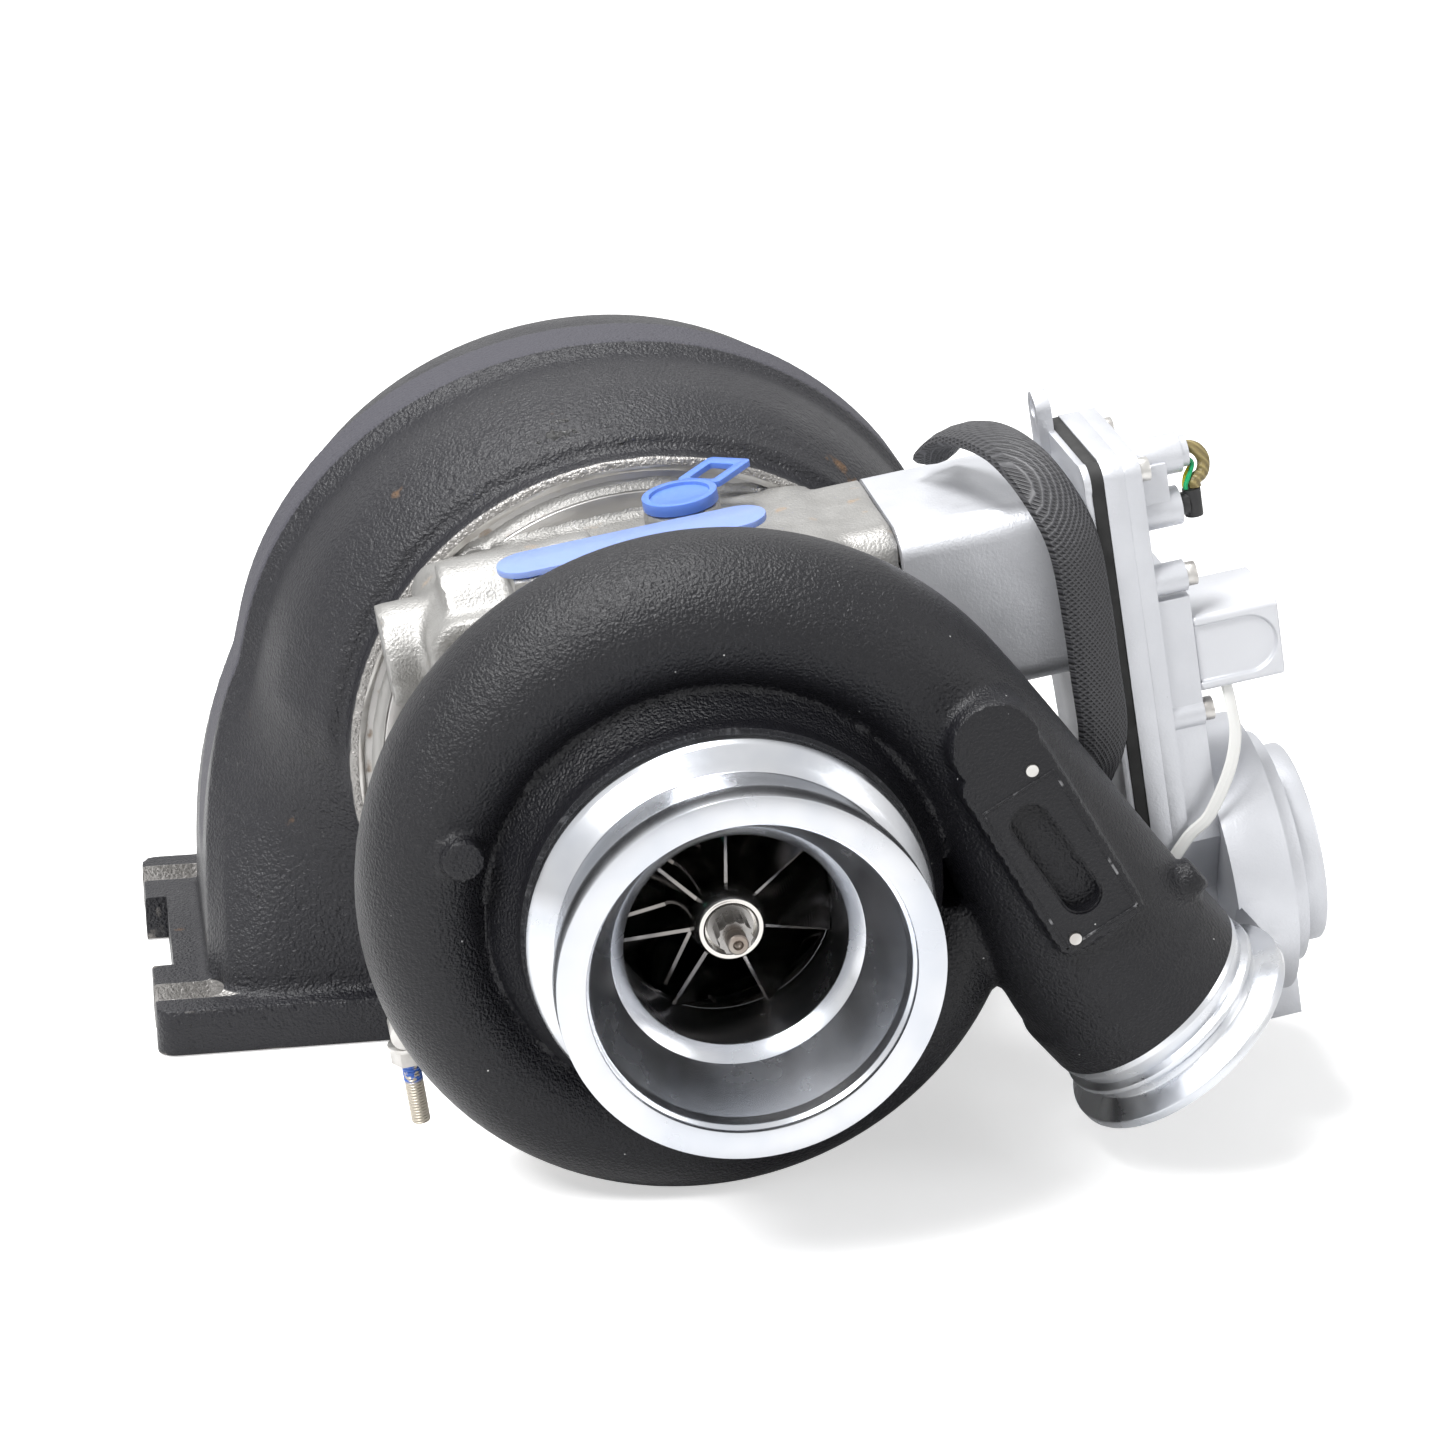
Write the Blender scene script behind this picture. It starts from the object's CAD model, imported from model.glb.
import math

import bmesh
import bpy
from mathutils import Matrix, Vector


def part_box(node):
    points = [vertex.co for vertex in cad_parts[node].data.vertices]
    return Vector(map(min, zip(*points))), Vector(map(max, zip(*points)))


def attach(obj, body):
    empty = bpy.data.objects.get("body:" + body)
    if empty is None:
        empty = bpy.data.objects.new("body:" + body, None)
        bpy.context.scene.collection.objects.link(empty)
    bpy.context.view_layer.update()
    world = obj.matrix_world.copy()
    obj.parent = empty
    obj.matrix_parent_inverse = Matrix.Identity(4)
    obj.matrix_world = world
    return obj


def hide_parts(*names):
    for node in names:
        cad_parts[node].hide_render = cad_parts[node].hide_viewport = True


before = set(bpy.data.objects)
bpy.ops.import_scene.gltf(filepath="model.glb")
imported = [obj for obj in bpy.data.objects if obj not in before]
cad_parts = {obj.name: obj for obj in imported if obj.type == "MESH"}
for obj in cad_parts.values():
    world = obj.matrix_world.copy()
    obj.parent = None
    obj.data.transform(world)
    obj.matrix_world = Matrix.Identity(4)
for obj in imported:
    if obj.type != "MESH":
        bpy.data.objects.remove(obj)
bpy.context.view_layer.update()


# ---- Compressor cover: the scroll casting ----
# A sand-cast aluminium scroll with its outlet duct, coated satin black.
# The shells of the scroll, duct, pad and bosses are fused and their corners rounded as in the mould,
# then the air passage, the pad's pocket and the lug's hole are cut.

MM = 0.001
TILT = math.radians(9.5)
OUTLET_TURN = math.radians(41)


def smooth(t):
    return t * t * (3 - 2 * t)


def lerp(a, b, t):
    return a + (b - a) * t


def polar(radius, degrees, y):
    a = math.radians(degrees)
    return (radius * math.cos(a), y, radius * math.sin(a))


def frame_of(angle, place=(0, 0, 0)):
    """Frame turned about the shaft direction, with its origin at a place given in that frame, in mm."""
    return Matrix.Rotation(-angle, 4, "Y") @ Matrix.Translation(Vector(place) * MM)


def loft(bm, rings):
    """Closed skin over rings of points in mm, bridged one to the next and filled at both ends."""
    loops = []
    for ring in rings:
        made = bmesh.ops.create_circle(bm, segments=len(ring), radius=1)["verts"]
        for vert, point in zip(made, ring):
            vert.co = Vector(point) * MM
        loops.append(list(dict.fromkeys(e for v in made for e in v.link_edges)))
    for a, b in zip(loops, loops[1:]):
        bmesh.ops.bridge_loops(bm, edges=a + b)
    for end in (loops[0], loops[-1]):
        bmesh.ops.edgeloop_fill(bm, edges=end)


def eased(profile, radius):
    """The profile with each corner turned into a small round of three points."""
    out = []
    n = len(profile)
    for i, corner in enumerate(profile):
        c = Vector(corner)
        before, after = Vector(profile[i - 1]) - c, Vector(profile[(i + 1) % n]) - c
        r = min(radius, 0.4 * before.length, 0.4 * after.length)
        a, b = c + before.normalized() * r, c + after.normalized() * r
        out += [tuple(a), tuple((a + 2 * c + b) / 4), tuple(b)]
    return out


def spin_ring(bm, profile, matrix=Matrix(), steps=160):
    """Ring turned about the shaft line from a closed [radius, distance back] profile in mm."""
    earlier = set(bm.verts)
    verts = [bm.verts.new((r * MM, y * MM, 0)) for r, y in profile]
    edges = [bm.edges.new((a, b)) for a, b in zip(verts, verts[1:] + verts[:1])]
    bmesh.ops.spin(bm, geom=verts + edges, cent=(0, 0, 0), axis=(0, 1, 0),
                   angle=math.tau, steps=steps, use_merge=True)
    bmesh.ops.transform(bm, matrix=matrix, verts=[v for v in bm.verts if v not in earlier])


def rod(bm, r0, r1, length, matrix, segments=48):
    """Round bar or cone along the matrix's Z axis, from its origin; sizes in mm."""
    place = matrix @ Matrix.Translation((0, 0, length * MM / 2))
    bmesh.ops.create_cone(bm, cap_ends=True, segments=segments, radius1=r0 * MM,
                          radius2=r1 * MM, depth=length * MM, matrix=place)


def box(bm, low, high, matrix=Matrix(), upright=0.0):
    """Block between two corners in mm; upright rounds the edges along Z of the matrix."""
    low, high = Vector(low) * MM, Vector(high) * MM
    verts = bmesh.ops.create_cube(bm, size=1)["verts"]
    for v in verts:
        v.co = Vector([lerp(low[i], high[i], v.co[i] + 0.5) for i in range(3)])
    if upright:
        edges = [e for e in dict.fromkeys(e for v in verts for e in v.link_edges)
                 if abs(e.verts[0].co.z - e.verts[1].co.z) > 0.9 * (high - low).z]
        made = bmesh.ops.bevel(bm, geom=edges, offset=upright * MM, offset_type="OFFSET",
                               segments=6, profile=0.5, affect="EDGES", material=-1)
        verts = list(dict.fromkeys([v for v in verts if v.is_valid] + made["verts"]))
    bmesh.ops.transform(bm, matrix=matrix, verts=verts)


def as_object(name, bm):
    bmesh.ops.remove_doubles(bm, verts=bm.verts, dist=1e-6)
    bmesh.ops.recalc_face_normals(bm, faces=bm.faces)
    mesh = bpy.data.meshes.new(name)
    bm.to_mesh(mesh)
    bm.free()
    obj = bpy.data.objects.new(name, mesh)
    bpy.context.scene.collection.objects.link(obj)
    return obj


def settled(obj):
    """The object's mesh with its modifiers carried out, as a bmesh; the object goes."""
    bpy.context.view_layer.update()
    seen = obj.evaluated_get(bpy.context.evaluated_depsgraph_get())
    bm = bmesh.new()
    bm.from_mesh(seen.to_mesh())
    seen.to_mesh_clear()
    bpy.data.objects.remove(obj)
    return bm


def cast(bm, voxel, rounds):
    """Fuse overlapping shells into one casting with rounded corners."""
    rough = as_object("casting", bm)
    fuse = rough.modifiers.new("fuse", "REMESH")
    fuse.mode = "VOXEL"
    fuse.voxel_size = voxel * MM
    fair = rough.modifiers.new("fair", "SMOOTH")
    fair.factor = 0.5
    fair.iterations = rounds
    return settled(rough)


def cut(bm, *cutters):
    """Cut each of the closed shells out of the casting."""
    for cutter in cutters:
        body, tool = as_object("body", bm), as_object("tool", cutter)
        boolean = body.modifiers.new("cut", "BOOLEAN")
        boolean.operation = "DIFFERENCE"
        boolean.solver = "MANIFOLD"
        boolean.object = tool
        bm = settled(body)
        bpy.data.objects.remove(tool)
    return bm


def piece(name, bm, finish, body, slot, *nodes, crease=35):
    """Finished piece: faces outwards, smooth but for edges sharper than crease, riding on its body."""
    bmesh.ops.remove_doubles(bm, verts=bm.verts, dist=1e-6)
    bmesh.ops.recalc_face_normals(bm, faces=bm.faces)
    for f in bm.faces:
        f.smooth = True
    for e in bm.edges:
        e.smooth = e.calc_face_angle(0) < math.radians(crease)
    mesh = bpy.data.meshes.new(name)
    bm.to_mesh(mesh)
    bm.free()
    obj = bpy.data.objects.new(name, mesh)
    bpy.context.scene.collection.objects.link(obj)
    mesh.materials.append(finish.material)
    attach(obj, body)
    if nodes:
        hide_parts(*nodes)


# length of one wave of a wave texture at scale 1, straight and slantwise
WAVE_ROUND = 0.314
WAVE_SLANT = 2 * WAVE_ROUND


class Finish:
    """A material whose grain, wear and marks are laid over one shader."""

    def __init__(self, name, colour, roughness, metallic=0.0, specular=0.5):
        self.material = bpy.data.materials.new(name)
        self.material.use_nodes = True
        tree = self.material.node_tree
        self.nodes, self.link = tree.nodes, tree.links.new
        self.shader = self.nodes["Principled BSDF"]
        self.set("Base Color", (*colour, 1))
        self.set("Roughness", roughness)
        self.set("Metallic", metallic)
        self.set("Specular IOR Level", specular)
        self.place = self.nodes.new("ShaderNodeTexCoord").outputs["Object"]

    def set(self, socket, value):
        self.shader.inputs[socket].default_value = value

    def turned(self, turn, place=(0, 0, 0)):
        """Coordinates in a frame turned about the shaft direction, then moved by place in mm."""
        node = self.nodes.new("ShaderNodeMapping")
        node.inputs["Rotation"].default_value = (0, turn, 0)
        node.inputs["Location"].default_value = Vector(place) * MM
        self.link(self.place, node.inputs["Vector"])
        return node.outputs["Vector"]

    def noise(self, size, detail=2.0):
        node = self.nodes.new("ShaderNodeTexNoise")
        node.inputs["Scale"].default_value = 1 / (size * MM)
        node.inputs["Detail"].default_value = detail
        self.link(self.place, node.inputs["Vector"])
        return node.outputs["Fac"]

    def cells(self, size):
        node = self.nodes.new("ShaderNodeTexVoronoi")
        node.inputs["Scale"].default_value = 1 / (size * MM)
        self.link(self.place, node.inputs["Vector"])
        return node.outputs["Distance"], node.outputs["Color"]

    def rings(self, size, place=None, about="Y"):
        """Tool marks in circles, about the shaft line unless told otherwise."""
        node = self.nodes.new("ShaderNodeTexWave")
        node.wave_type = "RINGS"
        node.rings_direction = about
        node.inputs["Scale"].default_value = WAVE_ROUND / (size * MM)
        node.inputs["Distortion"].default_value = 0.4
        node.inputs["Detail Scale"].default_value = 40
        self.link(place or self.place, node.inputs["Vector"])
        return node.outputs["Fac"]

    def step(self, value, low, high, start=0.0, end=1.0):
        node = self.nodes.new("ShaderNodeMapRange")
        for socket, number in (("From Min", low), ("From Max", high), ("To Min", start), ("To Max", end)):
            node.inputs[socket].default_value = number
        self.link(value, node.inputs["Value"])
        return node.outputs["Result"]

    def combine(self, operation, a, b):
        """Math of two sockets or numbers."""
        node = self.nodes.new("ShaderNodeMath")
        node.operation = operation
        for socket, value in zip(node.inputs, (a, b)):
            if isinstance(value, (int, float)):
                socket.default_value = value
            else:
                self.link(value, socket)
        return node.outputs[0]

    def axis(self, name, place=None):
        node = self.nodes.new("ShaderNodeSeparateXYZ")
        self.link(place or self.place, node.inputs[0])
        return node.outputs[name]

    def edges(self, low=0.52, high=0.6):
        """1 on worn outer edges."""
        node = self.nodes.new("ShaderNodeNewGeometry")
        return self.step(node.outputs["Pointiness"], low, high)

    def bump(self, height, depth):
        node = self.nodes.new("ShaderNodeBump")
        node.inputs["Distance"].default_value = depth * MM
        self.link(height, node.inputs["Height"])
        normal = self.shader.inputs["Normal"]
        if normal.is_linked:
            self.link(normal.links[0].from_socket, node.inputs["Normal"])
        self.link(node.outputs["Normal"], normal)

    def over(self, socket, mask, value):
        """Lay a second value over a socket where the mask is 1."""
        target = self.shader.inputs[socket]
        node = self.nodes.new("ShaderNodeMix")
        colour = target.type == "RGBA"
        node.data_type = "RGBA" if colour else "FLOAT"
        a, b, out = (6, 7, 2) if colour else (2, 3, 0)
        if target.is_linked:
            self.link(target.links[0].from_socket, node.inputs[a])
        else:
            node.inputs[a].default_value = target.default_value
        node.inputs[b].default_value = (*value, 1) if colour else value
        self.link(mask, node.inputs[0])
        self.link(node.outputs[out], target)

    def uneven(self, size, roughness, detail=4, low=0.35, high=0.65):
        """Patches of a second roughness."""
        self.over("Roughness", self.step(self.noise(size, detail), low, high), roughness)

    def tinted(self, size, colour, detail=4, low=0.45, high=0.65):
        """Patches of a second colour."""
        self.over("Base Color", self.step(self.noise(size, detail), low, high), colour)

    def marks(self, mask, colour, roughness=None, metallic=None):
        self.over("Base Color", mask, colour)
        if roughness is not None:
            self.over("Roughness", mask, roughness)
        if metallic is not None:
            self.over("Metallic", mask, metallic)

    def dust(self, size, colour, share=0.8, speck=0.06):
        """Fine specks scattered one to a cell, in the given share of the cells left out."""
        distance, colours = self.cells(size)
        near = self.step(distance, speck, speck * 0.6)
        chosen = self.step(self.axis("X", colours), share, share + 0.02)
        self.marks(self.combine("MULTIPLY", near, chosen), colour, 0.7, 0.0)


VOLUTE_Y = 73
SCROLL_START, SCROLL_SWEEP = -25, 294
OUTLET_OFFSET, DUCT_R, DUCT_END = 73, 35, 118
WALL = 5.1


def scroll_reach(u):
    return lerp(101, 112.5, max(0, u) ** 0.8)


def scroll_ring(u, wall, sides=44):
    middle, half = (scroll_reach(u) + 65) / 2, (scroll_reach(u) - 65) / 2 - wall
    deep = lerp(20, 30, u)
    y = VOLUTE_Y + 30 - deep
    turns = [math.tau * i / sides for i in range(sides)]
    return [polar(middle + half * math.cos(t), SCROLL_START - u * SCROLL_SWEEP,
                  y + (deep - wall) * math.sin(t)) for t in turns]


def duct_ring(s, wall, sides=44):
    k = smooth(s)
    along = s * DUCT_END
    middle = lerp((scroll_reach(1) + 65) / 2, OUTLET_OFFSET, k)
    a = lerp((scroll_reach(1) - 65) / 2, DUCT_R, k) - wall
    b = lerp(30, DUCT_R, k * k) - wall
    c, d = math.cos(OUTLET_TURN), math.sin(OUTLET_TURN)
    out = []
    for i in range(sides):
        t = math.tau * i / sides
        q = middle + a * math.cos(t)
        out.append((q * c + along * d, VOLUTE_Y + b * math.sin(t), q * d - along * c))
    return out


def down_duct(t):
    """Frame at a distance t down the outlet, with Z pointing back up the duct."""
    return frame_of(OUTLET_TURN, (OUTLET_OFFSET, VOLUTE_Y, -t))


outlet = frame_of(OUTLET_TURN)
pad_frame = frame_of(OUTLET_TURN, (90.5, 0, -20)) @ Matrix.Rotation(math.radians(10), 4, "Y")
facing_front = Matrix.Rotation(math.radians(90), 4, "X")
upright_y = Matrix(((1, 0, 0, 0), (0, 0, 1, 0), (0, 1, 0, 0), (0, 0, 0, 1)))

shells = bmesh.new()
loft(shells, [scroll_ring(j / 90, 0) for j in range(-5, 91)]
     + [duct_ring(j / 24, 0) for j in range(1, 25)])
rod(shells, DUCT_R + 0.4, DUCT_R + 0.4, 20, down_duct(128), 72)
spin_ring(shells, [(55, 36), (62.2, 36), (62.8, 46), (66, 52), (69, 57), (69, 95.8), (84, 95.8),
                   (86, 103.8), (91, 106.6), (91, 110), (74, 110), (74, 90), (60, 80), (55, 60)])
# pad for the maker's plate: a lobe and a long plate with rounded corners
rod(shells, 14, 14, 18, outlet @ Matrix.Translation(Vector((94, 54, -12)) * MM) @ facing_front)
box(shells, (-14.6, -64, 36), (15.4, 4, 54), pad_frame @ upright_y, 4)
# round core plug on the left, rear lug and the small boss on the duct
rod(shells, 6.5, 6.5, 14, Matrix.Translation(Vector((-78, 60, 23)) * MM) @ facing_front)
lug_frame = frame_of(-math.radians(43))
rod(shells, 7.7, 7.7, 17.7, lug_frame @ Matrix.Translation(Vector((98, 103, 0)) * MM) @ facing_front)
box(shells, (82, 87.1, -5.2), (98, 102.3, 5.2), lug_frame)
rod(shells, 6, 6, 9.5, outlet @ Matrix.Translation(Vector((102, 63, -101)) * MM)
    @ Matrix.Rotation(math.radians(90), 4, "Y"))
casting = cast(shells, 1.5, 5)

passage = bmesh.new()
loft(passage, [scroll_ring(0.6 + j / 50, WALL) for j in range(21)]
     + [duct_ring(j / 12, WALL) for j in range(1, 13)])
bore = bmesh.new()
rod(bore, 30, 30, 60, down_duct(160), 96)
lug_hole = bmesh.new()
rod(lug_hole, 4.3, 4.3, 22, lug_frame @ Matrix.Translation(Vector((98, 105, 0)) * MM) @ facing_front)
pocket_frame = (frame_of(OUTLET_TURN, (84.25, 0, -52.5)) @ Matrix.Rotation(math.radians(6.9), 4, "Y")
                @ upright_y)
pocket, pocket_mouth = bmesh.new(), bmesh.new()
box(pocket, (-5.8, -20.4, 34), (5.8, 20.4, 41), pocket_frame, 5.75)
box(pocket_mouth, (-6.5, -21.1, 34), (6.5, 21.1, 36.7), pocket_frame, 6.45)
# the coated skin ends in a clean step where the inlet and the outlet are turned
duct_face, inlet_face = bmesh.new(), bmesh.new()
rod(duct_face, 45, 45, 35.7, down_duct(160), 96)
spin_ring(inlet_face, [(50, 20), (75, 20), (75, 40.4), (50, 40.4)])
casting = cut(casting, passage, bore, lug_hole, pocket, pocket_mouth, duct_face, inlet_face)

black_coating = Finish("black_coated_aluminium", (0.006, 0.006, 0.008), 0.4, specular=0.32)
black_coating.bump(black_coating.noise(1.0, 2), 0.7)
black_coating.bump(black_coating.noise(9, 2), 0.2)
black_coating.uneven(24, 0.38, high=0.7)
worn = black_coating.combine("MULTIPLY", black_coating.edges(0.56, 0.64),
                             black_coating.step(black_coating.noise(7, 3), 0.58, 0.64))
black_coating.marks(worn, (0.32, 0.32, 0.33), 0.42, 0.6)
black_coating.dust(7, (0.62, 0.62, 0.62), 0.7, 0.045)
piece("compressor_cover_casting", casting, black_coating, "housings", "black_coated_aluminium",
      "compressor_cover")


# ---- Compressor cover: turned inlet, outlet flange and pad trim ----
# The coating is turned off at the hose rim, its groove and bead, and at the outlet's clamp flange,
# which leaves bright aluminium with fine tool marks in circles about each bore.

inlet = bmesh.new()
spin_ring(inlet, eased([
    (48.55, 1.5), (48.55, 0), (57.15, 0), (57.15, 9), (54.35, 11.5), (54.35, 26), (57.2, 28.5),
    (60.7, 32), (61.7, 34), (61.7, 37), (61.1, 39.2), (61.2, 47), (60, 60), (60, 80), (58, 86),
    (49.4, 88), (48.2, 80.4), (44.8, 73), (39.8, 64.4), (33.6, 58), (33.6, 54), (38.05, 54),
    (38.05, 24), (46.55, 6), (47.35, 2.4)], 0.35), steps=256)
turned_aluminium = Finish("turned_aluminium", (0.6, 0.61, 0.635), 0.22, 1.0)
turned_aluminium.bump(turned_aluminium.rings(0.22), 0.004)
turned_aluminium.bump(turned_aluminium.noise(0.9, 4), 0.006)
turned_aluminium.uneven(16, 0.28, detail=5)
turned_aluminium.tinted(30, (0.53, 0.55, 0.59), low=0.42, high=0.62)
turned_aluminium.dust(5, (0.25, 0.25, 0.26), 0.85, 0.03)
piece("inlet_rim", inlet, turned_aluminium, "housings", "turned_aluminium", "compressor_cover")

flange = bmesh.new()
spin_ring(flange, eased([(30.02, 122), (34.4, 122), (34.6, 124.5), (35.2, 126.5), (33.4, 131.2),
                         (35.8, 132.2), (35.8, 134), (33.4, 135.4), (33.4, 138.2), (40.5, 142),
                         (40.5, 145), (31.2, 145), (30.02, 144)], 0.4),
          down_duct(0) @ Matrix.Rotation(math.radians(-90), 4, "X"))
outlet_turning = Finish("turned_outlet_aluminium", (0.66, 0.67, 0.69), 0.24, 1.0)
bore_axis = outlet_turning.turned(OUTLET_TURN, (-OUTLET_OFFSET, -VOLUTE_Y, 0))
outlet_turning.bump(outlet_turning.rings(0.22, bore_axis, "Z"), 0.004)
outlet_turning.bump(outlet_turning.noise(0.9, 4), 0.01)
outlet_turning.uneven(12, 0.36)
outlet_turning.tinted(22, (0.6, 0.62, 0.66), low=0.42, high=0.62)
piece("outlet_clamp_flange", flange, outlet_turning, "housings", "turned_aluminium", "compressor_cover")

# thin raised border that frames the plate's place on the pad
border = bmesh.new()
for low, high in (((-12.2, -61), (-11.4, -8)), ((12.4, -61), (13.2, -8)),
                  ((-12.2, -61), (13.2, -60.2)), ((-12.2, -8), (13.2, -7.2))):
    box(border, (low[0], 35.75, low[1]), (high[0], 37.2, high[1]), pad_frame)
bmesh.ops.bevel(border, geom=border.edges[:], offset=0.15 * MM, offset_type="OFFSET", segments=1,
                profile=0.5, affect="EDGES", material=-1)
piece("pad_border", border, black_coating, "housings", "black_coated_aluminium", "compressor_cover")


# ---- Shroud insert, drive pins and backplate ----
# Plain turned and pressed parts: the bore ring ahead of the wheel, two drive pins left in the pad,
# and the plate behind the wheel with its seal.

def dressed(finish, *nodes):
    """The CAD nodes keep their own mesh and take the finish."""
    for name in nodes:
        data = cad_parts[name].data
        data.materials.clear()
        data.materials.append(finish.material)


def softened(name, node, finish, body, slot, radius, segments=2):
    """Copy of a CAD node with its flat faces joined and its sharp edges rounded by radius in mm."""
    bm = bmesh.new()
    bm.from_mesh(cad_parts[node].data)
    bmesh.ops.remove_doubles(bm, verts=bm.verts, dist=1e-6)
    bmesh.ops.dissolve_limit(bm, angle_limit=math.radians(0.8), verts=bm.verts, edges=bm.edges)
    sharp = [e for e in bm.edges if e.calc_face_angle(0) > math.radians(28)]
    bmesh.ops.bevel(bm, geom=sharp, offset=radius * MM, offset_type="OFFSET", segments=segments,
                    profile=0.5, affect="EDGES", clamp_overlap=True, material=-1)
    piece(name, bm, finish, body, slot, node)


insert = bmesh.new()
spin_ring(insert, eased([(38, 24), (38, 54), (33.6, 54), (33.6, 28.6)], 0.3), steps=256)
piece("inlet_shroud_ring", insert, turned_aluminium, "housings", "turned_aluminium",
      "inlet_shroud_insert")

bare_steel = Finish("stainless_steel", (0.62, 0.61, 0.59), 0.28, 1.0)
bare_steel.bump(bare_steel.noise(0.8, 3), 0.01)
bare_steel.uneven(9, 0.42)
bare_steel.tinted(13, (0.44, 0.42, 0.4))

dark_steel = Finish("dark_steel", (0.16, 0.155, 0.15), 0.38, 1.0)
dark_steel.bump(dark_steel.noise(0.7, 3), 0.012)
dark_steel.uneven(7, 0.5)

rubber = Finish("black_rubber", (0.012, 0.012, 0.012), 0.62)
rubber.bump(rubber.noise(0.6, 3), 0.02)
rubber.uneven(5, 0.75, detail=3)

dressed(bare_steel, "data_plate_pins", "heat_shield")
dressed(turned_aluminium, "compressor_backplate", "oil_seal_plate")
dressed(rubber, "cover_o_ring")


# ---- Clamp band, its T-bolt and nut ----
# A rolled stainless vee band drawn together by a T-bolt through two trunnions;
# the bolt's thread carries a ring of blue locking compound.

softened("clamp_band", "cover_clamp_band", bare_steel, "housings", "stainless_steel", 0.35)
thread_steel = Finish("threaded_steel", (0.55, 0.5, 0.42), 0.32, 1.0)
down_bolt = thread_steel.turned(math.radians(188))
THREAD_PITCH = 1.0
thread = thread_steel.nodes.new("ShaderNodeTexWave")
thread.bands_direction = "Z"
thread.inputs["Scale"].default_value = WAVE_ROUND / (THREAD_PITCH * MM)
thread_steel.link(down_bolt, thread.inputs["Vector"])
thread_steel.bump(thread.outputs["Fac"], 0.35)
below = thread_steel.axis("Z", down_bolt)
locking = thread_steel.combine("MULTIPLY", thread_steel.step(below, 0.0577, 0.0582),
                               thread_steel.step(below, 0.0645, 0.0635))
locking = thread_steel.combine("MULTIPLY", locking,
                               thread_steel.step(thread_steel.noise(3, 3), 0.4, 0.46))
thread_steel.marks(locking, (0.03, 0.12, 0.5), 0.5, 0.0)
softened("clamp_t_bolt", "cover_clamp_t_bolt", thread_steel, "housings", "stainless_steel", 0.5)
softened("clamp_nut", "cover_clamp_nut", bare_steel, "housings", "stainless_steel", 0.3)


# ---- Bearing housing ----
# A grey iron casting left bare, with milled port faces on top and a milled boss on the left.
# Light brown rust has started in the corners of the cast skin.

# the shell of the casting, with the thin skin over the cross shaft's room made good
housing = bmesh.new()
housing.from_mesh(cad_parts["bearing_housing"].data)
bmesh.ops.remove_doubles(housing, verts=housing.verts, dist=1e-6)
box(housing, (60, 134, 73.5), (80.6, 176, 79.2), frame_of(TILT))
PORT_FACE, BOSS_FACE = 0.0912, -0.0807
bare_iron = Finish("raw_cast_iron", (0.33, 0.325, 0.315), 0.45, 0.7)
skin_grain = bare_iron.noise(0.9, 3)
level = bare_iron.turned(TILT)
milled = bare_iron.combine(
    "MAXIMUM", bare_iron.step(bare_iron.axis("Z", level), PORT_FACE, PORT_FACE + 0.0002),
    bare_iron.step(bare_iron.axis("X", level), BOSS_FACE, BOSS_FACE - 0.0001))
bare_iron.bump(bare_iron.combine("MULTIPLY", skin_grain, bare_iron.step(milled, 0, 1, 1, 0.08)), 0.35)
bare_iron.tinted(14, (0.29, 0.285, 0.275), detail=5, low=0.42, high=0.62)
bare_iron.uneven(8, 0.52, low=0.4, high=0.7)
bare_iron.marks(bare_iron.step(bare_iron.noise(11, 8), 0.64, 0.76), (0.3, 0.22, 0.15), 0.65, 0.2)
bare_iron.marks(milled, (0.33, 0.325, 0.315), 0.36, 0.95)
piece("bearing_housing_casting", cast(housing, 1.6, 3), bare_iron, "housings", "raw_cast_iron",
      "bearing_housing")

# turned face of the rear flange, with its seat and grooves
rear_flange = bmesh.new()
spin_ring(rear_flange, eased([
    (73, 188), (73, 183.9), (79.6, 184.4), (80, 185.2), (82.6, 185.4), (83, 184.7), (88.9, 185.1),
    (90.05, 187.76), (97, 187.76), (97, 194.9), (90, 194.9)], 0.3), steps=192)
turned_iron = Finish("turned_iron", (0.46, 0.45, 0.44), 0.3, 1.0)
turned_iron.bump(turned_iron.rings(0.35), 0.008)
turned_iron.uneven(9, 0.4)
turned_iron.marks(turned_iron.step(turned_iron.noise(9, 6), 0.62, 0.72), (0.3, 0.21, 0.14),
                  0.6, 0.4)
piece("bearing_housing_flange", rear_flange, turned_iron, "housings", "raw_cast_iron",
      "bearing_housing")

dressed(bare_steel, "piston_rings", "bearing_snap_rings")
bronze = Finish("bearing_bronze", (0.42, 0.26, 0.1), 0.32, 1.0)
bronze.bump(bronze.noise(0.9, 3), 0.01)
bronze.uneven(6, 0.45)
dressed(bronze, "thrust_bearing", "cross_shaft_bushes", "front_journal_bearing",
        "rear_journal_bearing")


# ---- Turbine housing ----
# A heavy iron casting painted black: a twin scroll that grows out of a square foot flange.
# The skin is coarse and pitted; the paint has chipped on the edges and lets brown rust through.

TURBINE_Y = 263
FOOT_X, FOOT_DROP, FOOT_T = 105, 104, 16
FOOT_TOP = FOOT_T - FOOT_DROP
SLOT_APART, SLOT_R = 51.3, 6.5
BAND = 11


def turbine_reach(u):
    a = min(1, u * 324 / 84)
    return 120.5 + 12 * (1 - smooth(a)) - 34 * max(0, (u - 0.42) / 0.58) ** 1.1


def curved(points, steps=4):
    """Smooth line through a few points."""
    out = []
    for i in range(len(points) - 1):
        a, b = points[max(0, i - 1)], points[i]
        c, d = points[i + 1], points[min(len(points) - 1, i + 2)]
        for f in [j / steps for j in range(steps)]:
            out.append(tuple(0.5 * (2 * q + (r - p) * f + (2 * p - 5 * q + 4 * r - s) * f * f
                                    + (3 * q - p - 3 * r + s) * f ** 3)
                             for p, q, r, s in zip(a, b, c, d)))
    return out + [points[-1]]


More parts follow.
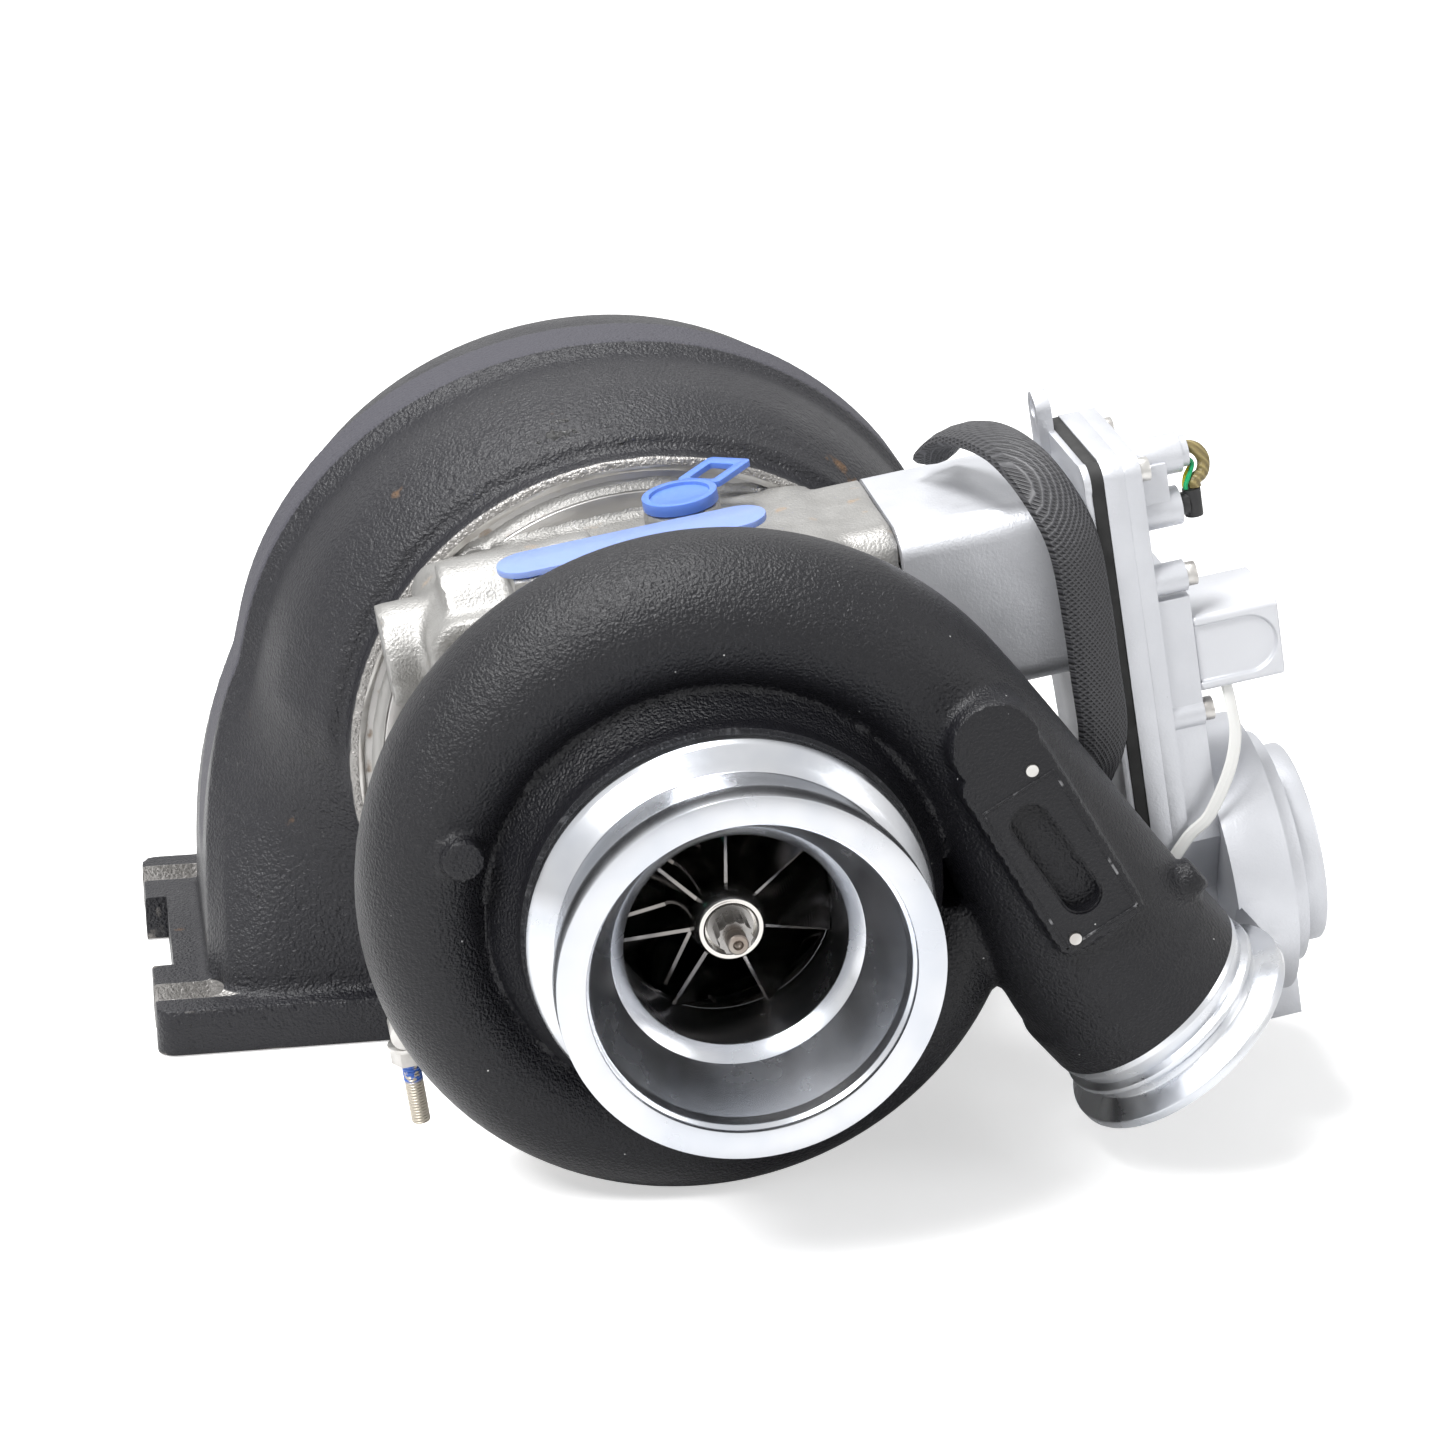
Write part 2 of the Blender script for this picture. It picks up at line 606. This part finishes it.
def half_section(r):
    full = min(1, (r - 84) / 36.5)
    b, w = lerp(80, 101, full), lerp(0.62, 1, full)
    return [(74, -58 * w), (b, -69 * w), (lerp(b, r, 0.34), -62 * w), (lerp(b, r, 0.63), -48 * w),
            (lerp(b, r, 0.78), -31 * w), (lerp(b, r, 0.82), -(BAND + 6) * w), (r, -BAND * w)]


def crested(points):
    """The section's line, smooth up to the sharp crest beside the outer band."""
    return curved(points[:-1]) + [points[-1]]


def half_passage(r):
    full = min(1, (r - 84) / 36.5)
    b, w = max(81, lerp(80, 101, full) - 6), lerp(0.62, 1, full)
    return [(80, -46 * w), (b, -60 * w), (lerp(b, r, 0.4), -51 * w), (lerp(b, r, 0.72), -34 * w),
            (r - 8, -(BAND + 7) * w), (r - 6.5, -(BAND + 1) * w)]


HALF_FOOT = [(64, -41), (68, -56), (80, -60), (105, -60), (130, -60), (142, -55), (148, -41)]
HALF_PORT = [(70, -42), (76, -52), (95, -54), (119, -54), (137, -50), (142, -40)]


def mirrored(half):
    return half + [(r, -y) for r, y in reversed(half)]


def divided(half):
    return half + [(half[-1][0], -3), (half[0][0], -3)]


def leg_half(top, foot, k):
    m = 1 - (1 - k) ** 3
    return [(lerp(t[0], f[0], m if i > 3 else smooth(k)), lerp(t[1], f[1], smooth(k)))
            for i, (t, f) in enumerate(zip(top, foot))]


def at_leg(section, z, side=1):
    return [(-r, TURBINE_Y + side * y, z) for r, y in section]


def round_scroll(section, degrees, side=1):
    return [polar(r, degrees, TURBINE_Y + side * y) for r, y in section]


def leg_z(k):
    return lerp(14, FOOT_TOP - 6, k)


iron = bmesh.new()
top = half_section(turbine_reach(0))
rings = [at_leg(mirrored(crested(leg_half(top, HALF_FOOT, 1 - j / 24))), leg_z(1 - j / 24))
         for j in range(25)]
rings += [round_scroll(mirrored(crested(half_section(turbine_reach(j / 96)))), 174 - 324 * j / 96)
          for j in range(2, 97)]
loft(iron, rings)
spin_ring(iron, [(88, 184.8), (99.7, 184.8), (100.5, 185.6), (100.5, 196), (100, 200), (92, 206),
                 (92, 320), (98, 330), (92, 334), (72, 336), (64, 341), (62, 349), (52, 349),
                 (52, 250), (60, 220), (88, 205)])
box(iron, (-62 - FOOT_X, TURBINE_Y - 68.3, -FOOT_DROP - 4), (62 - FOOT_X, TURBINE_Y + 68.3, FOOT_TOP),
    upright=6)
iron = cast(iron, 1.7, 2)

# the room of the wheel and the nozzle, the room that the vanes slide into, and the twin ports
gas_room = bmesh.new()
spin_ring(gas_room, [(0.001, 180), (97.6, 180), (97.6, 185.4), (99, 185.4), (99, 187.75),
                     (97.1, 187.75), (97.1, 195), (84, 195), (84, 214), (84, 312), (66.5, 262),
                     (66.5, 246), (44.4, 246), (43.9, 252), (42.3, 258), (40, 264), (38.4, 268),
                     (38.4, 271), (56, 330), (56, 356), (0.001, 356)])
vane_room = bmesh.new()
spin_ring(vane_room, [(49, 240), (65, 240), (65, 258.5), (49, 258.5)])
ports = []
for side in (1, -1):
    port = bmesh.new()
    start, end = divided(half_passage(turbine_reach(0))), divided(HALF_PORT)
    loft(port, [at_leg(end, -FOOT_DROP - 8, side)]
         + [at_leg(leg_half(start, end, 1 - j / 12), leg_z(1 - j / 12), side) for j in range(13)]
         + [round_scroll(divided(half_passage(turbine_reach(j / 32))), 174 - 9.28 * j, side)
            for j in range(1, 9)])
    ports.append(port)
# the foot's face, and at each end of it a notch and two open slots for the studs
under = bmesh.new()
box(under, (-220, 150, -FOOT_DROP - 20), (20, 380, -FOOT_DROP))
slots = []
for s in (-1, 1):
    notch = bmesh.new()
    box(notch, (-9 + s * 0.5, -29.3, -FOOT_DROP - 8), (9 + s * 0.5, 29.3, FOOT_TOP + 8),
        Matrix.Translation(Vector((s * 63 - FOOT_X, TURBINE_Y, 0)) * MM))
    if s > 0:
        bmesh.ops.scale(notch, vec=(1, 1, 0.5), verts=notch.verts,
                        space=Matrix.Translation((0, 0, (FOOT_DROP + 8) * MM)))
    slots.append(notch)
    for t in (-1, 1):
        slot_cut = bmesh.new()
        y = TURBINE_Y + t * SLOT_APART
        end = s * 45 - FOOT_X
        rod(slot_cut, SLOT_R, SLOT_R, 40, Matrix.Translation(Vector((end, y, -FOOT_DROP - 8)) * MM))
        far = s * 72 - FOOT_X
        block_cut = bmesh.new()
        box(block_cut, (min(end, far), y - SLOT_R, -FOOT_DROP - 8),
            (max(end, far), y + SLOT_R, FOOT_TOP + 16))
        slots += [slot_cut, block_cut]
iron = cut(iron, gas_room, vane_room, *ports, under, *slots)

black_iron = Finish("black_cast_iron", (0.012, 0.012, 0.015), 0.42, specular=0.34)
black_iron.bump(black_iron.noise(1.1, 2), 0.8)
black_iron.bump(black_iron.noise(16, 2), 0.7)
pit, _ = black_iron.cells(9)
black_iron.bump(black_iron.step(pit, 0.1, 0.2), 0.25)
black_iron.uneven(18, 0.34, high=0.7)
chips = black_iron.combine("MULTIPLY", black_iron.edges(0.54, 0.6),
                           black_iron.step(black_iron.noise(6, 4), 0.56, 0.62))
black_iron.marks(chips, (0.3, 0.28, 0.26), 0.45, 0.7)
black_iron.marks(black_iron.step(black_iron.noise(19, 7), 0.7, 0.74), (0.1, 0.06, 0.035), 0.75, 0.0)
black_iron.dust(9, (0.5, 0.5, 0.5), 0.8, 0.03)
drip, drops = black_iron.cells(26)
wet = black_iron.combine(
    "MULTIPLY",
    black_iron.step(black_iron.combine("ADD", drip, black_iron.noise(4, 3)), 0.63, 0.61),
    black_iron.step(black_iron.axis("X", drops), 0.72, 0.74))
black_iron.marks(wet, (0.001, 0.001, 0.001), 0.12)


def away_from(value, place):
    return black_iron.combine("ABSOLUTE", black_iron.combine("SUBTRACT", value, place), 0)


def within(value, place, reach, fade=0.0004):
    """1 where the value lies within reach of a place, in metres."""
    return black_iron.step(away_from(value, place), reach + fade, reach)


# the outer band is dusty and matt, the rim round the bearing housing is turned bare
along_shaft, height = black_iron.axis("Y"), black_iron.axis("Z")
band = black_iron.combine("MULTIPLY", within(along_shaft, TURBINE_Y * MM, 0.0112),
                          black_iron.step(height, -0.06, -0.05))
black_iron.marks(band, (0.05, 0.049, 0.06), 0.62)
black_iron.marks(within(along_shaft, 0.184, 0.0017), (0.3, 0.29, 0.28), 0.42, 0.85)
# milled bare under the foot and in its slots
milled_foot = black_iron.step(height, 0.00015 - FOOT_DROP * MM, 0.00005 - FOOT_DROP * MM)
in_slot = black_iron.combine(
    "MULTIPLY",
    within(away_from(along_shaft, TURBINE_Y * MM), SLOT_APART * MM, SLOT_R * MM + 0.0001, 0.0001),
    black_iron.step(height, (FOOT_TOP + 0.8) * MM, (FOOT_TOP + 0.5) * MM))
black_iron.marks(black_iron.combine("MAXIMUM", milled_foot, in_slot), (0.33, 0.32, 0.31), 0.42, 0.85)
piece("turbine_housing_casting", iron, black_iron, "housings", "black_cast_iron", "turbine_housing")

exhaust = bmesh.new()
spin_ring(exhaust, eased([(56.02, 338), (61, 338), (62.9, 341), (62.9, 345.5), (68, 348.5), (68, 352),
                          (56.8, 352), (56.02, 351)], 0.4), steps=192)
machined_iron = Finish("machined_iron", (0.42, 0.4, 0.38), 0.36, 0.95)
machined_iron.bump(machined_iron.rings(0.4), 0.01)
machined_iron.uneven(9, 0.5)
rust = machined_iron.step(machined_iron.noise(11, 6), 0.56, 0.66)
machined_iron.marks(rust, (0.22, 0.13, 0.07), 0.7, 0.2)
piece("exhaust_clamp_flange", exhaust, machined_iron, "housings", "black_cast_iron", "turbine_housing")
softened("turbine_snap_ring", "turbine_retaining_ring", bare_steel, "housings", "stainless_steel", 0.3)


# ---- Turbine wheel, shaft and nozzle ----
# The turbine wheel is cast in nickel alloy and welded to a ground steel shaft; the nozzle ring
# slides on its two push rods and closes its vanes into the shroud plate.

hot_alloy = Finish("turbine_alloy", (0.32, 0.29, 0.26), 0.36, 1.0)
hot_alloy.bump(hot_alloy.noise(1.1, 4), 0.05)
hot_alloy.uneven(8, 0.5)
hot_alloy.tinted(20, (0.22, 0.17, 0.14))
dressed(hot_alloy, "turbine_wheel_and_shaft", "nozzle_ring", "nozzle_shroud_plate")
dressed(bare_steel, "push_rods")
dressed(dark_steel, "yoke", "sector_gear", "intermediate_gear", "motor_pinion", "thrust_collar",
        "oil_slinger", "intermediate_gear_pin")


# ---- Compressor wheel and its nut ----
# Milled from a forged blank: seven full blades and seven short ones between them, thin at the tip,
# polished dark by the tool. A touch of green paint marks the balanced blade.

def hub_line(m):
    a = math.pi / 2 * m
    return 11.5 + 37.5 * (1 - math.cos(a)), 45 + 49 * math.sin(a)


def tip_line(m):
    if m < 0.15:
        return 33.25, lerp(50, 58, m / 0.15)
    a = math.pi / 2 * (m - 0.15) / 0.85
    return 33.25 + 15.4 * (1 - math.cos(a)), 58 + 30.35 * math.sin(a)


def blade_turn(m):
    return 58 * (0.75 * (1 - (1 - m) ** 2) + 0.25 * m)


def blade(bm, first, turn, along=22, across=6):
    """One blade as a thin shell from its leading edge to the wheel's rim."""
    shell = bmesh.ops.create_grid(bm, x_segments=along, y_segments=across, size=0.5)["verts"]
    for v in shell:
        m, s = lerp(first, 1, v.co.x + 0.5), v.co.y + 0.5
        (r0, y0), (r1, y1) = hub_line(m), tip_line(m)
        v.co = Vector(polar(lerp(r0 - 0.8, r1, s), turn + blade_turn(m),
                            lerp(y0 + 0.5 * math.sin(m * 1.5), y1, s))) * MM
    faces = list(dict.fromkeys(f for v in shell for f in v.link_faces))
    bmesh.ops.recalc_face_normals(bm, faces=faces)
    bmesh.ops.solidify(bm, geom=faces, thickness=1.1 * MM)


wheel = bmesh.new()
hub = [(4.5, 41), (7.8, 41), (7.8, 37.6), (8.4, 37), (9.6, 37), (10.6, 38.4), (11.2, 42)]
hub += [hub_line(i / 20) for i in range(21)]
hub += [(49, 97.5), (4.5, 97.5)]
spin_ring(wheel, hub, steps=126)
for i in range(7):
    blade(wheel, 0, -14 - 360 * i / 7)
    blade(wheel, 0.3, -14 - 360 * (i + 0.5) / 7)
blade_alloy = Finish("blade_alloy", (0.36, 0.34, 0.325), 0.13, 1.0)
blade_alloy.bump(blade_alloy.rings(0.8), 0.01)
blade_alloy.uneven(9, 0.24, detail=3)
nose = blade_alloy.step(blade_alloy.axis("Y"), 0.0455, 0.0425)
blade_alloy.marks(nose, (0.62, 0.6, 0.57), 0.2, 1.0)
spot = blade_alloy.nodes.new("ShaderNodeVectorMath")
spot.operation = "DISTANCE"
spot.inputs[1].default_value = (-0.0245, 0.0495, 0.0222)
blade_alloy.link(blade_alloy.place, spot.inputs[0])
blade_alloy.marks(blade_alloy.step(spot.outputs["Value"], 0.0065, 0.0055), (0.0, 0.3, 0.2), 0.45, 0.0)
piece("compressor_wheel_milled", wheel, blade_alloy, "rotor", "blade_alloy", "compressor_wheel",
      crease=30)

nut_steel = Finish("lock_nut_steel", (0.3, 0.29, 0.28), 0.24, 1.0)
nut_steel.bump(nut_steel.noise(0.8, 3), 0.01)
nut_steel.uneven(4, 0.36, detail=3)
softened("compressor_lock_nut", "compressor_nut", nut_steel, "rotor", "stainless_steel", 0.25)


# ---- Actuator: housing, gear case, cover and motor ----
# Pressure die castings in bare aluminium, finely textured and close to white in even light,
# stacked with a black gasket and held by socket screws.

die_cast = Finish("satin_die_cast", (0.56, 0.57, 0.6), 0.44, 0.7)
die_cast.bump(die_cast.noise(0.8, 3), 0.09)
die_cast.bump(die_cast.noise(6, 3), 0.1)
die_cast.uneven(12, 0.5)
die_cast.tinted(26, (0.6, 0.61, 0.64), detail=5)
die_cast.dust(6, (0.3, 0.3, 0.31), 0.85, 0.03)
for name, node, radius in (
        ("actuator_base_casting", "actuator_housing", 0.5), ("gear_case_casting", "gear_case", 0.5),
        ("gear_cover_casting", "gear_cover", 0.7), ("motor_body", "motor_housing", 1.2),
        ("motor_end_cover", "motor_end_cap", 1.0), ("gland_and_sensor_boss", "wire_gland", 0.5)):
    softened(name, node, die_cast, "housings", "satin_die_cast", radius, 3)
softened("case_gasket", "actuator_gasket", rubber, "housings", "black_rubber", 0.1, 1)
for name, node in (("cover_socket_screws", "gear_cover_screws"),
                   ("motor_cover_screws", "motor_screws")):
    softened(name, node, bare_steel, "housings", "stainless_steel", 0.25)
softened("mounting_bolts", "actuator_bolts", dark_steel, "housings", "dark_steel", 0.25)

grey_plastic = Finish("grey_plastic", (0.62, 0.63, 0.66), 0.4, 0.3)
grey_plastic.bump(grey_plastic.noise(0.7, 3), 0.03)
grey_plastic.uneven(10, 0.5)
softened("plug_box", "connector_box", grey_plastic, "housings", "grey_plastic", 1.2, 4)


# ---- Wires, sleeve and tie ----
# A corrugated conduit with two insulated wires loops from the gland to the sensor's cap,
# a woven sleeve holds the harness down the case, and a nylon tie holds it at the foot.

conduit = Finish("olive_conduit", (0.17, 0.13, 0.05), 0.45)
ribs = conduit.nodes.new("ShaderNodeTexWave")
ribs.bands_direction = "DIAGONAL"
ribs.inputs["Scale"].default_value = 200
conduit.link(conduit.place, ribs.inputs["Vector"])
conduit.bump(ribs.outputs["Fac"], 0.4)
conduit.over("Base Color", ribs.outputs["Fac"], (0.3, 0.24, 0.1))
dressed(conduit, "wire_conduit")
for name, colour, node in (("green_insulation", (0.0, 0.36, 0.13), "green_wire"),
                           ("yellow_insulation", (0.7, 0.6, 0.02), "yellow_wire")):
    insulation = Finish(name, colour, 0.34)
    insulation.bump(insulation.noise(1.5, 2), 0.02)
    insulation.uneven(3, 0.45, detail=3)
    dressed(insulation, node)

black_plastic = Finish("black_plastic", (0.014, 0.014, 0.015), 0.4)
black_plastic.bump(black_plastic.noise(0.7, 3), 0.02)
black_plastic.uneven(4, 0.52, detail=3)
nylon = Finish("white_nylon", (0.78, 0.78, 0.76), 0.4)
nylon.bump(nylon.noise(2, 2), 0.02)
nylon.uneven(4, 0.5, detail=3)
dressed(nylon, "cable_tie")
softened("sensor_cap", "sensor_cable_cap", black_plastic, "housings", "black_plastic", 0.4)

STRAND = 1.9
woven = Finish("woven_sleeve", (0.014, 0.014, 0.016), 0.6)
strands = []
for hand in (1, -1):
    slant = woven.nodes.new("ShaderNodeMapping")
    slant.inputs["Scale"].default_value = (hand, hand, 1)
    woven.link(woven.place, slant.inputs["Vector"])
    wave = woven.nodes.new("ShaderNodeTexWave")
    wave.bands_direction = "DIAGONAL"
    wave.inputs["Scale"].default_value = WAVE_SLANT / (STRAND * MM)
    woven.link(slant.outputs["Vector"], wave.inputs["Vector"])
    strands.append(wave.outputs["Fac"])
weave = woven.combine("MAXIMUM", *strands)
woven.bump(weave, 0.3)
woven.over("Base Color", woven.step(weave, 0.6, 1), (0.045, 0.045, 0.05))
woven.over("Roughness", woven.step(weave, 0.5, 1), 0.45)
dressed(woven, "braided_sleeve")


# ---- Shipping plugs ----
# Two moulded caps of translucent blue plastic keep dirt out of the ports until the unit is fitted.

for name, node, body, slot, colour in (
        ("round_port_cap", "round_port_plug", "round_plug", "blue_cap_plastic", (0.15, 0.3, 0.8)),
        ("long_port_cap", "long_port_plug", "long_plug", "pale_blue_cap_plastic", (0.3, 0.42, 0.8))):
    cap = Finish(slot, colour, 0.3)
    cap.set("Transmission Weight", 0.35)
    cap.set("Subsurface Weight", 0.3)
    cap.set("Subsurface Radius", (0.002, 0.003, 0.006))
    cap.bump(cap.noise(3, 3), 0.03)
    cap.uneven(7, 0.42)
    softened(name, node, cap, body, slot, 0.4)


# ---- Floor, light and camera ----
# A pale floor under a plain white surround with three large soft lamps.

low = min(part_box(n)[0].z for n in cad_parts)
ground = bmesh.new()
bmesh.ops.create_grid(ground, x_segments=1, y_segments=1, size=6)
floor = as_object("floor", ground)
floor.data.transform(Matrix.Translation((0, 0, low - 0.0002)))
pale = bpy.data.materials.new("pale_floor")
pale.use_nodes = True
pale_nodes, pale_link = pale.node_tree.nodes, pale.node_tree.links.new
pale_shader = pale_nodes["Principled BSDF"]
pale_shader.inputs["Base Color"].default_value = (0.85, 0.85, 0.85, 1)
pale_shader.inputs["Roughness"].default_value = 0.9
pale_shader.inputs["Specular IOR Level"].default_value = 0.0
# what the camera sees of the floor fades to white, and the object's shadow stays on it
sight_line = pale_nodes.new("ShaderNodeLightPath")
fade = pale_nodes.new("ShaderNodeMath")
fade.operation = "MULTIPLY"
fade.inputs[1].default_value = 0.55
pale_link(sight_line.outputs["Is Camera Ray"], fade.inputs[0])
glow = pale_nodes.new("ShaderNodeEmission")
pale_link(fade.outputs[0], glow.inputs["Strength"])
lit = pale_nodes.new("ShaderNodeAddShader")
pale_link(pale_shader.outputs[0], lit.inputs[0])
pale_link(glow.outputs[0], lit.inputs[1])
pale_link(lit.outputs[0], pale_nodes["Material Output"].inputs["Surface"])
floor.data.materials.append(pale)

world = bpy.data.worlds.new("surround")
bpy.context.scene.world = world
world.use_nodes = True
sky, link = world.node_tree.nodes, world.node_tree.links.new
# the surround is white to the eye and in reflections, and gives a softer fill elsewhere
light_path = sky.new("ShaderNodeLightPath")
white = light_path.outputs["Is Camera Ray"]
for kind in ("Is Glossy Ray", "Is Transmission Ray"):
    either = sky.new("ShaderNodeMath")
    either.operation = "MAXIMUM"
    link(white, either.inputs[0])
    link(light_path.outputs[kind], either.inputs[1])
    white = either.outputs[0]
strength = sky.new("ShaderNodeMapRange")
strength.inputs["To Min"].default_value = 0.3
strength.inputs["To Max"].default_value = 1.0
link(white, strength.inputs["Value"])
background = sky["Background"]
background.inputs["Color"].default_value = (1, 1, 1, 1)
link(strength.outputs["Result"], background.inputs["Strength"])


def soft_lamp(name, place, size, watts):
    data = bpy.data.lights.new(name, "AREA")
    data.shape = "SQUARE"
    data.size = size
    data.energy = watts
    lamp = bpy.data.objects.new(name, data)
    bpy.context.scene.collection.objects.link(lamp)
    lamp.location = place
    lamp.rotation_euler = (Vector((0, 0.15, 0)) - Vector(place)).to_track_quat("-Z", "Y").to_euler()


soft_lamp("key_lamp", (-0.9, -0.6, 1.3), 0.6, 32)
soft_lamp("side_lamp", (1.4, -0.7, 0.8), 0.7, 6)
soft_lamp("top_lamp", (-0.3, 0.45, 1.7), 0.6, 32)

sight = bpy.data.cameras.new("camera")
sight.sensor_width = 36
sight.lens = 99.65
camera = bpy.data.objects.new("camera", sight)
bpy.context.scene.collection.objects.link(camera)
right = Vector((0.9854, -0.1702, 0))
up = Vector((0.0616, 0.3563, 0.9323))
back = Vector((-0.1587, -0.9187, 0.3616))
look = Matrix((right, up, back)).transposed().to_4x4()
look.translation = Vector((-0.1866, -1.0276, 0.4847))
camera.matrix_world = look
bpy.context.scene.camera = camera
bpy.context.scene.view_settings.view_transform = "Standard"
